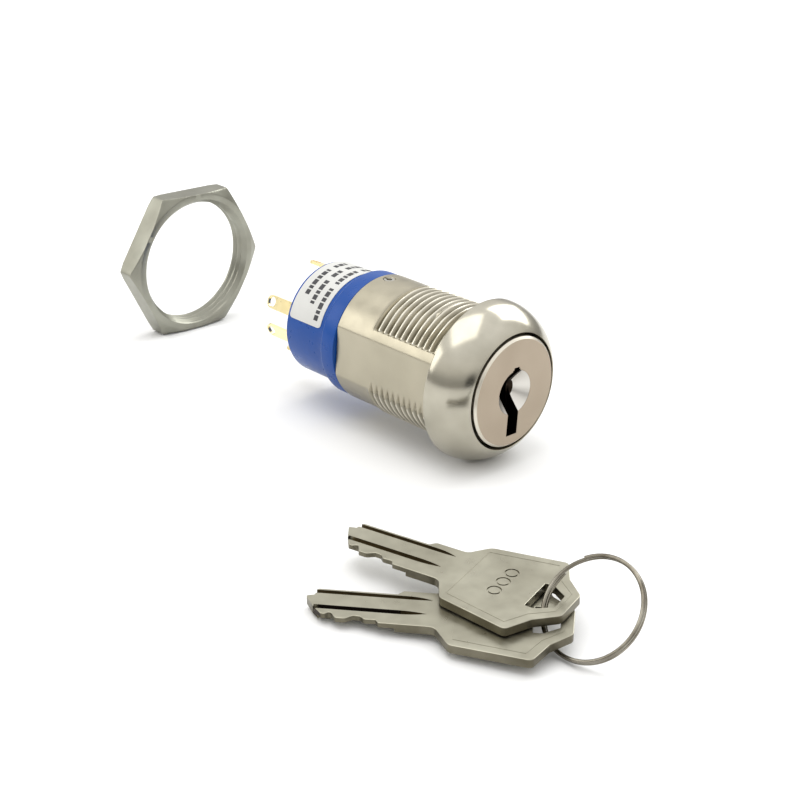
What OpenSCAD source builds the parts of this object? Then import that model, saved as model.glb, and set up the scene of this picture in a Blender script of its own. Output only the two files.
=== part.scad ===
// Selector key switch for panel mounting, with its nut, two keys and a split ring.
// Millimetres. The lock axis is Y: the key face looks along -Y and +Z is up.
// The origin lies on the lock axis, in the rear face of the bezel.

/* [Bezel and barrel] */
// Outer radius of the bezel at the panel
bezel_r = 11.35; // [11:0.05:12]
// Height of the bezel dome in front of the panel
bezel_h = 5.77; // [5.5:0.01:6]
// Crest radius of the barrel thread
thread_r = 9.525; // [9.4:0.005:9.6]
// Thread pitch, 24 turns to the inch
pitch = 1.058; // [0.75:0.001:1.27]
// Length of the threaded stretch behind the bezel
thread_len = 13.2; // [12:0.1:14]
// Overall length of the barrel behind the bezel
barrel_len = 19.63; // [19.4:0.01:20]
// Distance of each barrel flat from the lock axis
flat_x = 8.61; // [8.5:0.01:8.8]

/* [Lock plug] */
// Radius of the visible plug face
face_r = 7.81; // [7.6:0.01:7.9]
// Stand of the plug face in front of the panel
face_y = 6.13; // [6:0.01:6.3]
// Chamfer round the plug face
face_edge = 0.3; // [0.1:0.05:0.3]
// Radius of the plug body
plug_r = 6.2; // [6.1:0.05:6.2]
// Width of the keyhole slot in the face
slot_w = 2.1; // [1.9:0.1:2.3]
// Depth of each cut in the keys, from tip to bow, in steps
cuts = [3, 1, 2, 2, 1, 0]; // [0:1:3]
// One step of cut depth
cut_step = 0.35; // [0.2:0.05:0.35]
// Turn of the key between its two positions
turn_angle = 90; // [60:5:90]

/* [Switch housing] */
// Radius of the blue collar
collar_r = 9.25; // [9:0.05:9.3]
// Rear end of the collar
collar_y = 22.26; // [22:0.01:22.5]
// Radius of the blue housing
housing_r = 8.38; // [8.2:0.02:8.5]
// Rear end of the blue housing
housing_y = 30.47; // [30.3:0.01:31]

/* [Solder lugs] */
// Rear end of the lugs
lug_y = 36.7; // [35.5:0.1:38]
// Width of a lug
lug_w = 2.2; // [2:0.1:2.4]
// Thickness of a lug
lug_t = 0.45; // [0.35:0.05:0.6]
// Radius of a lug's eye
eye_r = 0.75; // [0.6:0.05:0.8]
// Distance of the lugs from the lock axis
lug_circle = 6.7; // [6.5:0.1:6.8]

/* [Mounting nut] */
// Width across the flats
nut_af = 22.2; // [21.6:0.1:24]
// Thickness of the nut
nut_h = 3.5; // [3:0.1:4]
// Height of the chamfer on the nut's front and back corners
nut_chamfer = [0.8, 0.3]; // [0.2:0.1:1]
// Bore radius at the thread crests
nut_bore_r = 9.585; // [9.585:0.005:9.7]
// Place of the loose nut's front face on the lock axis
nut_y = 61; // [50:1:70]

/* [Keys and ring] */
// Thickness of a key
key_t = 1.1; // [1:0.05:1.2]
// Length of a key from its tip to the end of its tab
key_len = 30.4; // [30:0.1:31]
// Greatest width of the bow
bow_w = 15.8; // [15:0.2:17]
// Height of the key blade
blade_h = 6; // [5.6:0.1:6.2]
// Radius of the ring to the middle of its wire
ring_r = 6.1; // [6:0.05:6.3]
// Diameter of the ring wire
wire_d = 0.5; // [0.45:0.05:0.55]

/* [Hidden] */
$fn = 96;
eps = 0.01;              // overreach of a cut
gap = 0.05;              // clearance of a running or sliding fit

// Barrel
dome_r = 7;                              // arc of the bezel dome
plain_r = thread_r - 0.2;                // plain stretch behind the thread
thread_depth = 0.45;
face_bore_r = face_r + 0.41;             // counterbore round the plug face
shoulder_y = -1;                         // floor of that counterbore
bore_r = plug_r + gap;
chamber_y = 13;                          // start of the rear chamber
chamber_r = 7.6;
pin_y = 18.05;                           // retaining pin
pin_angle = 92;
pin_r = 0.8;
stop_angle = 45;                         // stop pin, from +X towards +Z
stop_circle = 7;
stop_r = 0.45;

// Plug and wafers
keyway_w = 1.5;
keyway_h = blade_h + 0.6;
slot_low = 6.2;                          // foot of the keyhole slot
slot_high = 3.6;                         // top of the keyhole notch
slot_deep = 2.2;
cone_r = 3.2;                            // countersink round the keyhole
wafer_count = len(cuts);
wafer_pitch = 1.9;
wafer_y = 1;                             // front face of the first wafer
wafer_t = 0.9;
wafer_w = 4.4;
wafer_h = 11.5;
wafer_travel = 0.7;
channel_w = wafer_w + 0.5;
channel_r = 7.15;
arm_x = 3.7;                             // reach of a wafer's side arm
arm_h = 0.5;
wafer_spring_top = 3.2;
plug_end = 15;
clip_y = 13.15;
clip_t = 0.5;

// Rotor and contacts
tail_t = 1.2;
tail_w = 4.4;
spigot_y = 15.8;
spigot_r = chamber_r - gap;
inner_front_r = 5.6;
cavity_y = 21;
cavity_r = 7.05;
base_y = 27.6;                           // inner face of the terminal base
base_t = 2.5;
base_r = 7.55;
rotor_y = 21.5;
rotor_h = 3;
rotor_r = 6.7;
hub_r = 3;
arm_y = 26;                              // front face of the moving contacts
contact_t = 0.3;
throw_angle = 162;                       // lug touched at rest, on the left
common_angle = 200;
contact_circle = 5.4;
track_circle = 3.3;
foot_t = 0.45;
pad_t = 0.4;                             // fixed contact
ball_r = 0.8;
ball_circle = cavity_r - gap - ball_r;
ball_travel = 0.35;

// Lugs, counted from the one touched at rest
lug_angles = [
    throw_angle, common_angle, throw_angle - turn_angle,
    throw_angle - 180, common_angle - 180, throw_angle - turn_angle - 180
];

// Keys, in the frame of one key: tip at the origin, blade along +X
neck_x = 10.7;
neck_top = 3.75;                         // the neck is flush with the blade below
shoulder_x = 15.6;
bow_x = 16.9;
tab_x = key_len - 2.5;
wide_x = tab_x - 1.7;
hole_x = [key_len - 4.5, key_len - 3.35, key_len - 1.5];
hole_h = [2.6, 1.3];                     // half heights of the hole at its two ends
first_cut = 2.9;
cut_pitch = 1.35;
groove_w = 0.75;
thin_y = -1.3;                           // the bitting edge is thinner below here
thin_deep = 0.5;
groove_deep = 0.35;
groove_low = [-1.05, 2];                // lower edges of the two grooves of a key
groove_end = [12, 14];                   // how far each runs from the tip
pivot_x = [27.34, 26.95];                // where the ring crosses each key
pivot_y = [-0.34, 0.66];
pivots = [[-29.07, -36.86, -7.70], [-30.26, -37.78, -9.07]];
headings = [-76.7, -52.8];
pile_lean = 4.6;                         // lean of the pile of keys, propped by the ring
ring_centre = [-28.03, -42.67, -6.18];
ring_lean = 49.7;
ring_heading = 177.3;

// ---- Helpers ----

// Turns a shape built along +Z so that it runs along +Y
module along_y() {
    rotate([-90, 0, 0]) children();
}

// Turns a shape placed on +X to an angle round the lock axis, from +X towards +Z
module at_angle(a) {
    rotate([0, -a, 0]) children();
}

// Round bar on the lock axis between two places
module rod(r, y1, y2) {
    translate([0, y1, 0]) along_y() cylinder(r = r, h = y2 - y1);
}

// Plate drawn in X and Z, between two places on Y
module plate(y1, y2) {
    translate([0, y2, 0]) rotate([90, 0, 0]) linear_extrude(y2 - y1) children();
}

// Block given by its ends on each axis
module block(x, y, z) {
    translate([x[0], y[0], z[0]]) cube([x[1] - x[0], y[1] - y[0], z[1] - z[0]]);
}

// Compression spring standing on +Z, drawn as the sleeve that its turns fill
module coil(r, wire, len) {
    difference() {
        cylinder(r = r, h = len, $fn = 32);
        translate([0, 0, -1]) cylinder(r = r - wire, h = len + 2, $fn = 32);
    }
}

// ---- Barrel ----

// Half section of one thread ring, rooted outside the crest
module thread_notch(crest, depth, outward = 1) {
    half = pitch * 0.42;
    polygon([[crest + outward * eps, -half], [crest - outward * depth, 0],
             [crest + outward * eps, half]]);
}

module bezel_section() {
    intersection() {
        translate([bezel_r - dome_r, 0]) circle(r = dome_r);
        translate([0, -bezel_h]) square([bezel_r, bezel_h]);
    }
    translate([0, -bezel_h]) square([face_bore_r + eps, bezel_h]);
}

module barrel_solid() {
    along_y() rotate_extrude() bezel_section();
    intersection() {
        union() {
            along_y() rotate_extrude() difference() {
                translate([0, -eps]) square([thread_r, thread_len + eps]);
                for (i = [1:floor(thread_len / pitch) - 1]) {
                    translate([0, i * pitch]) thread_notch(thread_r, thread_depth);
                }
            }
            rod(plain_r, thread_len - eps, barrel_len);
        }
        block([-flat_x, flat_x], [-1, barrel_len + 1], [-bezel_r, bezel_r]);
    }
}

module barrel() {
    color("lightgoldenrodyellow") difference() {
        barrel_solid();
        rod(face_bore_r, -bezel_h - 1, shoulder_y);
        rod(bore_r, shoulder_y - eps, chamber_y + eps);
        rod(chamber_r, chamber_y, barrel_len + 1);
        // Four channels that take the wafers when the key is out
        for (a = [0, 90]) {
            at_angle(a) block([-channel_r, channel_r], [0.4, chamber_y + eps],
                              [-channel_w / 2, channel_w / 2]);
        }
        at_angle(stop_angle) translate([stop_circle, 0, 0]) rod(stop_r, -1.5, 1.5);
        at_angle(pin_angle) translate([0, pin_y, 0]) rotate([0, 90, 0])
            cylinder(r = pin_r, h = bezel_r);
    }
}

module retaining_pin() {
    color("silver") at_angle(pin_angle) translate([6.2, pin_y, 0]) rotate([0, 90, 0])
        difference() {
            cylinder(r = pin_r - 0.02, h = plain_r - 6.3);
            translate([0, 0, -1]) cylinder(r = pin_r / 2, h = plain_r);
            // Slit of the rolled pin
            block([-0.12, 0.12], [0, pin_r + 1], [-1, plain_r]);
        }
}

module stop_pin() {
    color("silver") at_angle(stop_angle) translate([stop_circle, 0, 0]) rod(stop_r, -2.6, 1.5);
}

// ---- Switch housing ----

module switch_housing() {
    color("royalblue") difference() {
        union() {
            rod(spigot_r, spigot_y, barrel_len + eps);
            rod(collar_r, barrel_len + gap / 5, collar_y);
            rod(housing_r, collar_y - eps, housing_y);
        }
        rod(hub_r + 0.1, spigot_y - 1, spigot_y + 2);
        rod(inner_front_r, spigot_y + 1.2, cavity_y + eps);
        rod(cavity_r, cavity_y, base_y + eps);
        rod(base_r + gap / 2, base_y, housing_y + 1);
        at_angle(pin_angle) translate([6.2, pin_y, 0]) rotate([0, 90, 0])
            cylinder(r = pin_r, h = 3);
        // Two pockets that the detent ball drops into
        for (a = [-90, -90 - turn_angle]) {
            at_angle(a) translate([ball_circle + ball_travel, rotor_y + rotor_h / 2, 0])
                sphere(r = ball_r + 0.1);
        }
    }
}

module rating_label() {
    color("gainsboro") translate([0, 23.5, 0]) along_y() rotate([0, 0, -167])
        rotate_extrude(angle = 154) translate([housing_r + 0.01, 0]) square([0.08, 6.4]);
}

module terminal_base() {
    color("darkslategray") difference() {
        rod(base_r, base_y, base_y + base_t);
        rod(1.25, base_y - 1, base_y + 1.7);
        for (a = lug_angles) {
            at_angle(a) block([lug_circle - lug_t / 2 - 0.03, lug_circle + lug_t / 2 + 0.03],
                              [base_y - 1, base_y + base_t + 1],
                              [-lug_w / 2 - 0.03, lug_w / 2 + 0.03]);
        }
    }
}

// Lug outline in Z (across) and Y (along), with a round tip and a waist at the base
module lug_outline() {
    tip = lug_w / 2;
    union() {
        translate([-tip, base_y - foot_t]) square([lug_w, housing_y + 1 - base_y + foot_t]);
        translate([-tip * 0.9, housing_y]) square([tip * 1.8, lug_y - tip - housing_y]);
        translate([0, lug_y - tip]) circle(r = tip * 0.9, $fn = 48);
    }
}

module lug(a) {
    at_angle(a) difference() {
        translate([lug_circle - lug_t / 2, 0, 0]) rotate([0, 90, 0])
            linear_extrude(lug_t) lug_outline();
        translate([0, lug_y - lug_w / 2, 0]) rotate([0, 90, 0])
            cylinder(r = eye_r, h = lug_circle + 1, $fn = 48);
    }
}

// Terminal of a throw: a lug with a short foot under its contact
module throw_terminal(a) {
    color("gold") {
        lug(a);
        at_angle(a) block([contact_circle - 0.8, lug_circle - lug_t / 2 + eps],
                          [base_y - foot_t, base_y], [-lug_w / 2, lug_w / 2]);
    }
}

// Terminal of a common: a lug with an arc track that the moving contact stays on
module common_terminal(a) {
    color("gold") {
        lug(a);
        at_angle(a) block([track_circle, lug_circle - lug_t / 2 + eps],
                          [base_y - foot_t, base_y], [-lug_w / 2 + 0.2, lug_w / 2 - 0.2]);
        translate([0, base_y - foot_t, 0]) along_y() rotate([0, 0, -a - 5])
            rotate_extrude(angle = 140) translate([2.6, 0]) square([1.4, foot_t]);
    }
}

module fixed_contacts() {
    color("silver") for (i = [0, 2, 3, 5]) {
        at_angle(lug_angles[i]) translate([contact_circle, 0, 0])
            rod(0.7, base_y - foot_t - pad_t, base_y - foot_t);
    }
}

// ---- Lock plug ----

module keyhole() {
    // Countersink that leads the key in
    translate([0, -face_y - eps, 0]) along_y() cylinder(r1 = cone_r, r2 = 0.9, h = 2.3);
    block([-slot_w / 2, slot_w / 2], [-face_y - 1, -face_y + slot_deep], [-slot_low, 0]);
    block([-slot_w / 4, slot_w / 4], [-face_y - 1, -face_y + slot_deep], [0, slot_high]);
    // Keyway along the plug
    block([-keyway_w / 2, keyway_w / 2], [-face_y - 1, 12.4], [-keyway_h / 2, keyway_h / 2]);
}

module wafer_slot(y) {
    block([-wafer_w / 2 - gap, wafer_w / 2 + gap], [y - gap, y + wafer_t + gap],
          [-plug_r - 1, plug_r + 1]);
    block([0, arm_x + 0.1], [y - gap, y + wafer_t + gap],
          [-arm_h - wafer_travel - 0.1, wafer_spring_top]);
}

module stop_groove() {
    // Room that the pin's radius takes at either end of the groove
    spare = 4.5;
    translate([0, shoulder_y - 1.8, 0]) along_y() rotate([0, 0, spare - stop_angle])
        rotate_extrude(angle = -turn_angle - 2 * spare) translate([stop_circle - 0.6, 0])
            square([1.2, 3]);
}

module plug() {
    color("tan") difference() {
        along_y() rotate_extrude() polygon([
            [0, -face_y], [face_r - face_edge, -face_y], [face_r, face_edge - face_y],
            [face_r, shoulder_y - 0.2], [plug_r, shoulder_y - 0.2], [plug_r, plug_end],
            [0, plug_end]
        ]);
        keyhole();
        stop_groove();
        for (i = [0:wafer_count - 1]) {
            wafer_slot(wafer_y + i * wafer_pitch);
        }
        // Groove of the retaining clip
        translate([0, clip_y - gap, 0]) along_y() difference() {
            cylinder(r = plug_r + 1, h = clip_t + 2 * gap);
            translate([0, 0, -1]) cylinder(r = plug_r - 0.6, h = clip_t + 3);
        }
        // Slot of the drive tail
        block([-tail_t / 2 - gap, tail_t / 2 + gap], [13.75, plug_end + 1],
              [-tail_w / 2 - gap, tail_w / 2 + gap]);
    }
}

module wafer(i) {
    y = wafer_y + i * wafer_pitch;
    drop = cuts[i] * cut_step / 2;
    color("goldenrod") difference() {
        union() {
            plate(y, y + wafer_t) square([wafer_w, wafer_h], center = true);
            plate(y, y + wafer_t) translate([0, -arm_h]) square([arm_x, 2 * arm_h]);
        }
        plate(y - 1, y + wafer_t + 1) translate([0, drop])
            square([keyway_w + 0.4, keyway_h - 0.4], center = true);
    }
}

module wafer_springs() {
    color("lightsteelblue") for (i = [0:wafer_count - 1]) {
        translate([3.05, wafer_y + i * wafer_pitch + wafer_t / 2, arm_h + 0.02])
            coil(0.42, 0.18, wafer_spring_top - arm_h - 0.04);
    }
}

module retaining_clip() {
    color("silver") translate([0, clip_y, 0]) along_y() rotate([0, 0, 120])
        rotate_extrude(angle = 300) translate([plug_r - 0.55, 0]) square([1.3, clip_t]);
}

module drive_tail() {
    color("silver") block([-tail_t / 2, tail_t / 2], [13.8, 20.5], [-tail_w / 2, tail_w / 2]);
}

// ---- Rotor ----

module rotor() {
    color("ivory") difference() {
        union() {
            rod(rotor_r, rotor_y, rotor_y + rotor_h);
            rod(hub_r, 18.2, rotor_y + eps);
            rod(2, rotor_y + rotor_h - eps, 26.8);
            rod(1.2, 26.7, base_y + 1.6);
        }
        block([-tail_t / 2 - gap, tail_t / 2 + gap], [17, 20.6],
              [-tail_w / 2 - gap, tail_w / 2 + gap]);
        for (a = [throw_angle, throw_angle - 180]) {
            at_angle(a) translate([4.4, 0, 0]) rod(0.85, rotor_y + 1.5, rotor_y + rotor_h + 1);
        }
        // Radial hole of the detent ball and its spring
        at_angle(-90) translate([3.4, rotor_y + rotor_h / 2, 0]) rotate([0, 90, 0])
            cylinder(r = ball_r + gap, h = rotor_r);
    }
}

module moving_contact(a) {
    color("goldenrod") at_angle(a) {
        block([2.4, 6.1], [arm_y, arm_y + contact_t], [-0.8, 0.8]);
        translate([track_circle, 0, 0]) rod(0.45, arm_y, base_y - foot_t - gap);
        translate([contact_circle, 0, 0]) rod(0.5, arm_y, base_y - foot_t - pad_t - gap);
    }
}

module contact_springs() {
    color("lightsteelblue") for (a = [throw_angle, throw_angle - 180]) {
        at_angle(a) translate([4.4, rotor_y + 1.52, 0]) along_y()
            coil(0.75, 0.22, arm_y - rotor_y - 1.54);
    }
}

module detent_ball() {
    color("silver") at_angle(-90)
        translate([ball_circle, rotor_y + rotor_h / 2, 0]) sphere(r = ball_r);
}

module detent_spring() {
    color("lightsteelblue") at_angle(-90) translate([3.42, rotor_y + rotor_h / 2, 0])
        rotate([0, 90, 0]) coil(0.7, 0.2, ball_circle - ball_r - 3.46);
}

// ---- Loose pieces ----

module mounting_nut() {
    corner_r = nut_af / 2 / cos(30);
    back_r = corner_r - 0.8;
    color("lightslategray") translate([0, nut_y, 0]) along_y() difference() {
        intersection() {
            cylinder(r = corner_r, h = nut_h, $fn = 6);
            // Chamfer of the corners
            union() {
                cylinder(r1 = nut_af / 2, r2 = corner_r, h = nut_chamfer[0]);
                translate([0, 0, nut_chamfer[0]])
                    cylinder(r = corner_r, h = nut_h - nut_chamfer[0] - nut_chamfer[1]);
                translate([0, 0, nut_h - nut_chamfer[1]])
                    cylinder(r1 = corner_r, r2 = back_r, h = nut_chamfer[1]);
            }
        }
        translate([0, 0, -1]) cylinder(r = nut_bore_r, h = nut_h + 2);
        for (z = [0, nut_h]) {
            translate([0, 0, z]) mirror([0, 0, z > 0 ? 1 : 0]) translate([0, 0, -eps])
                cylinder(r1 = nut_bore_r + 0.6, r2 = nut_bore_r, h = 0.6);
        }
        rotate_extrude() for (i = [1:3]) {
            translate([0, nut_h / 2 + (i - 2) * pitch])
                thread_notch(nut_bore_r, 0.4, -1);
        }
    }
}

module key_ring() {
    color("gray") translate(ring_centre) rotate([0, ring_lean, ring_heading])
        rotate_extrude() translate([ring_r, 0]) {
            for (s = [-1, 1]) {
                translate([0, s * wire_d * 0.45]) circle(d = wire_d, $fn = 32);
            }
            square([wire_d * 0.6, wire_d], center = true);
        }
}

module key_outline() {
    half = blade_h / 2;
    wide = bow_w / 2;
    difference() {
        // Blade with a step at the top of its tip, neck, and bow widening to its tab
        polygon([[0, half * 0.5], [1.1, -half * 0.2], [2.2, -half * 0.67], [3, -half],
                 [shoulder_x - 0.8, -half], [bow_x, -wide * 0.78],
                 [wide_x, -wide], [tab_x, -wide * 0.6], [key_len, -wide * 0.3],
                 [key_len, wide * 0.3], [tab_x, wide * 0.6], [wide_x, wide],
                 [bow_x, wide * 0.78], [shoulder_x - 0.8, neck_top], [neck_x, neck_top],
                 [neck_x, half], [1.1, half], [0.95, half * 0.58]]);
        polygon([[hole_x[0], hole_h[0]], [hole_x[1], hole_h[0]], [hole_x[2], hole_h[1]],
                 [hole_x[2], -hole_h[1]], [hole_x[1], -hole_h[0]], [hole_x[0], -hole_h[0]]]);
        for (i = [0:wafer_count - 1]) if (cuts[i] > 0) {
            translate([first_cut + i * cut_pitch, -half]) {
                deep = cuts[i] * cut_step;
                polygon([[-0.6, -eps], [-0.3, deep], [0.3, deep], [0.6, -eps]]);
            }
        }
    }
}

module key(n) {
    color("darkkhaki") translate(pivots[n]) rotate([0, -pile_lean, 0])
        rotate([0, 0, headings[n]]) translate([-pivot_x[n], -pivot_y[n], -key_t / 2])
            difference() {
                linear_extrude(key_t) key_outline();
                // Long groove near the back of the blade, and a shorter one below it
                for (i = [0, 1]) {
                    translate([-1, groove_low[i], key_t - groove_deep])
                        cube([groove_end[i] + 1, groove_w, 1]);
                }
                // Underside of the bitting edge
                translate([-1, thin_y - blade_h, -1])
                    cube([neck_x + 1, blade_h, thin_deep + 1]);
            }
}

barrel();
retaining_pin();
stop_pin();
switch_housing();
rating_label();
terminal_base();
throw_terminal(lug_angles[0]);  // terminal_1
common_terminal(lug_angles[1]);  // terminal_2
throw_terminal(lug_angles[2]);  // terminal_3
throw_terminal(lug_angles[3]);  // terminal_4
common_terminal(lug_angles[4]);  // terminal_5
throw_terminal(lug_angles[5]);  // terminal_6
fixed_contacts();
plug();
wafer(0);  // wafer_1
wafer(1);  // wafer_2
wafer(2);  // wafer_3
wafer(3);  // wafer_4
wafer(4);  // wafer_5
wafer(5);  // wafer_6
wafer_springs();
retaining_clip();
drive_tail();
rotor();
moving_contact(throw_angle);  // moving_contact_1
moving_contact(throw_angle - 180);  // moving_contact_2
contact_springs();
detent_ball();
detent_spring();
mounting_nut();
key_ring();
key(0);  // key_1
key(1);  // key_2
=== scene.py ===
import math
import bpy
import bmesh
from mathutils import Matrix, Vector


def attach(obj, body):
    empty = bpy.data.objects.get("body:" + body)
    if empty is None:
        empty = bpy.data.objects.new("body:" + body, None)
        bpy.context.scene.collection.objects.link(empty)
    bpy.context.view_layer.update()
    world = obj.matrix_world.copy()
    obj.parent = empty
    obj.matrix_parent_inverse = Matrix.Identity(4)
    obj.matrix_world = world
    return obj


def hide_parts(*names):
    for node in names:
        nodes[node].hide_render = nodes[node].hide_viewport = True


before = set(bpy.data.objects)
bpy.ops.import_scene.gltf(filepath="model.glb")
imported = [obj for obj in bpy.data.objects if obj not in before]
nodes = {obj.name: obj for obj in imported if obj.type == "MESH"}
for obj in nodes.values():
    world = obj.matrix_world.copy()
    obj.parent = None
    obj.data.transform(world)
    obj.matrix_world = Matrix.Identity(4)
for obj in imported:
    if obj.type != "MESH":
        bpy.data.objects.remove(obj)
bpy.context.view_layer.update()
mm = 0.001
print("frame loaded,", len(nodes), "nodes")


# mesh helpers, in millimetres

def smoothStep(low, high, value):
    t = min(1.0, max(0.0, (value - low) / (high - low)))
    return t * t * (3 - 2 * t)


def softMin(a, b, reach):
    # the smaller of the two, with the corner between them rounded off
    over = max(0.0, reach - abs(a - b))
    return min(a, b) - over * over / (4 * reach)


def aroundLock(radius, degrees, along):
    # a point round the lock axis; angles run from +X towards +Z
    a = math.radians(degrees)
    return (radius * math.cos(a), along, radius * math.sin(a))


def meshObject(name, points, faces, sharpAngle=32):
    mesh = bpy.data.meshes.new(name)
    mesh.from_pydata([Vector(p) * mm for p in points], [], faces)
    bm = bmesh.new()
    bm.from_mesh(mesh)
    bmesh.ops.recalc_face_normals(bm, faces=bm.faces)
    bm.to_mesh(mesh)
    bm.free()
    obj = bpy.data.objects.new(name, mesh)
    bpy.context.scene.collection.objects.link(obj)
    shadeSmooth(obj, sharpAngle)
    return obj


def shadeSmooth(obj, sharpAngle):
    for face in obj.data.polygons:
        face.use_smooth = True
    obj.data.set_sharp_from_angle(angle=math.radians(sharpAngle))


def turnedPiece(name, rows, columns, sharpAngle=32):
    # rows are (radius, along) pairs or functions of the angle; the last row joins the first
    points, faces = [], []
    for row in rows:
        for i in range(columns):
            degrees = 360 * i / columns
            radius, along = row(degrees) if callable(row) else row
            points.append(aroundLock(radius, degrees, along))
    count = len(rows)
    for j in range(count):
        for i in range(columns):
            a, b = j * columns, (j + 1) % count * columns
            k = (i + 1) % columns
            faces.append((a + i, a + k, b + k, b + i))
    return meshObject(name, points, faces, sharpAngle)


def tubeAlong(name, path, radius, sides=12):
    # round wire along a path, with closed ends
    points, faces = [], []
    up = Vector((0, 0, 1))
    for n, p in enumerate(path):
        ahead = Vector(path[min(n + 1, len(path) - 1)]) - Vector(path[max(n - 1, 0)])
        ahead.normalize()
        side = ahead.cross(up)
        if side.length < 0.1:
            side = ahead.cross(Vector((1, 0, 0)))
        side.normalize()
        up = side.cross(ahead)
        for k in range(sides):
            a = math.tau * k / sides
            points.append(Vector(p) + (side * math.cos(a) + up * math.sin(a)) * radius)
    for n in range(len(path) - 1):
        for k in range(sides):
            m = (k + 1) % sides
            faces.append((n * sides + k, n * sides + m, (n + 1) * sides + m, (n + 1) * sides + k))
    last = (len(path) - 1) * sides
    faces.append(tuple(range(sides)))
    faces.append(tuple(last + k for k in reversed(range(sides))))
    return meshObject(name, points, faces, 50)


def applyModifiers(obj):
    graph = bpy.context.evaluated_depsgraph_get()
    mesh = bpy.data.meshes.new_from_object(obj.evaluated_get(graph))
    obj.modifiers.clear()
    obj.data = mesh


def cutAway(obj, cutters):
    # takes the cutters out of the piece, and removes them
    for cutter in cutters:
        cut = obj.modifiers.new("cut", "BOOLEAN")
        cut.operation = "DIFFERENCE"
        cut.solver = "EXACT"
        cut.object = cutter
    applyModifiers(obj)
    for cutter in cutters:
        bpy.data.objects.remove(cutter)


def fitPiece(obj, body, slot, materials, *stoodFor):
    for material in materials:
        obj.data.materials.append(material)
    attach(obj, body)
    if stoodFor:
        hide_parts(*stoodFor)
    return obj


# materials

class Finish:
    # one material, with short ways to add its nodes
    def __init__(self, name, **sockets):
        self.material = bpy.data.materials.new(name)
        self.material.use_nodes = True
        self.tree = self.material.node_tree
        self.shader = self.tree.nodes["Principled BSDF"]
        for socket, value in sockets.items():
            self.shader.inputs[socket.replace("_", " ")].default_value = value
        self.place = self.tree.nodes.new("ShaderNodeTexCoord").outputs["Object"]

    def noise(self, size, stretch=(1, 1, 1), detail=3.0):
        # size is that of a speck, in millimetres
        mapping = self.tree.nodes.new("ShaderNodeMapping")
        mapping.inputs["Scale"].default_value = [s / (size * mm) for s in stretch]
        texture = self.tree.nodes.new("ShaderNodeTexNoise")
        texture.inputs["Scale"].default_value = 1.0
        texture.inputs["Detail"].default_value = detail
        self.tree.links.new(self.place, mapping.inputs["Vector"])
        self.tree.links.new(mapping.outputs["Vector"], texture.inputs["Vector"])
        return texture.outputs["Fac"]

    def between(self, value, low, high, start=0.3, end=0.7):
        node = self.tree.nodes.new("ShaderNodeMapRange")
        for socket, number in zip(("From Min", "From Max", "To Min", "To Max"),
                                  (start, end, low, high)):
            node.inputs[socket].default_value = number
        self.tree.links.new(value, node.inputs["Value"])
        return node.outputs["Result"]

    def colours(self, value, stops):
        ramp = self.tree.nodes.new("ShaderNodeValToRGB")
        while len(ramp.color_ramp.elements) < len(stops):
            ramp.color_ramp.elements.new(0.5)
        for element, (at, colour) in zip(ramp.color_ramp.elements, stops):
            element.position = at
            element.color = (*colour, 1)
        self.tree.links.new(value, ramp.inputs["Fac"])
        self.tree.links.new(ramp.outputs["Color"], self.shader.inputs["Base Color"])

    def calc(self, operation, *values):
        # one step of arithmetic on numbers or node outputs
        node = self.tree.nodes.new("ShaderNodeMath")
        node.operation = operation
        for socket, value in zip(node.inputs, values):
            if isinstance(value, float):
                socket.default_value = value
            else:
                self.tree.links.new(value, socket)
        return node.outputs[0]

    def coordinates(self):
        # x, y, z and the distance from the lock axis
        split = self.tree.nodes.new("ShaderNodeSeparateXYZ")
        self.tree.links.new(self.place, split.inputs[0])
        x, y, z = split.outputs
        square = self.calc("ADD", self.calc("MULTIPLY", x, x), self.calc("MULTIPLY", z, z))
        return x, y, z, self.calc("SQRT", square)

    def overlay(self, mask, colour):
        # another colour where the mask is 1
        mix = self.tree.nodes.new("ShaderNodeMix")
        mix.data_type = "RGBA"
        socket = self.shader.inputs["Base Color"]
        self.tree.links.new(mask, mix.inputs[0])
        self.tree.links.new(socket.links[0].from_socket, mix.inputs[6])
        mix.inputs[7].default_value = (*colour, 1)
        self.tree.links.new(mix.outputs[2], socket)

    def roughness(self, value, low, high):
        self.tree.links.new(self.between(value, low, high), self.shader.inputs["Roughness"])

    def bumps(self, *layers):
        # layers are (value, height in millimetres)
        before = None
        for value, height in layers:
            bump = self.tree.nodes.new("ShaderNodeBump")
            bump.inputs["Distance"].default_value = height * mm
            self.tree.links.new(value, bump.inputs["Height"])
            if before:
                self.tree.links.new(before, bump.inputs["Normal"])
            before = bump.outputs["Normal"]
        self.tree.links.new(before, self.shader.inputs["Normal"])


def metal(name, light, dark, rough, speck, height, stretch=(1, 1, 1), cloud=6.0):
    # a metal whose colour clouds between two tones, with grain of the given size and height
    finish = Finish(name, Metallic=1.0)
    clouds = finish.noise(cloud)
    finish.colours(clouds, [(0.3, dark), (0.7, light)])
    finish.roughness(finish.noise(speck * 3, stretch), *rough)
    finish.bumps((finish.noise(speck, stretch), height))
    return finish.material


def plastic(name, light, dark, rough, height, shine=0.5):
    finish = Finish(name, IOR=1.5, Specular_IOR_Level=shine)
    finish.colours(finish.noise(5.0), [(0.3, dark), (0.7, light)])
    finish.roughness(finish.noise(1.2), *rough)
    finish.bumps((finish.noise(0.6), height), (finish.noise(4.0), height * 4))
    return finish.material


# radii for the painted shade in the thread's grooves and the painted highlight on its crests
threadShade = dict(root=8.97, crest=9.525, middleAt=0.72, crestAt=0.95, middleShare=0.38)


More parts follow.
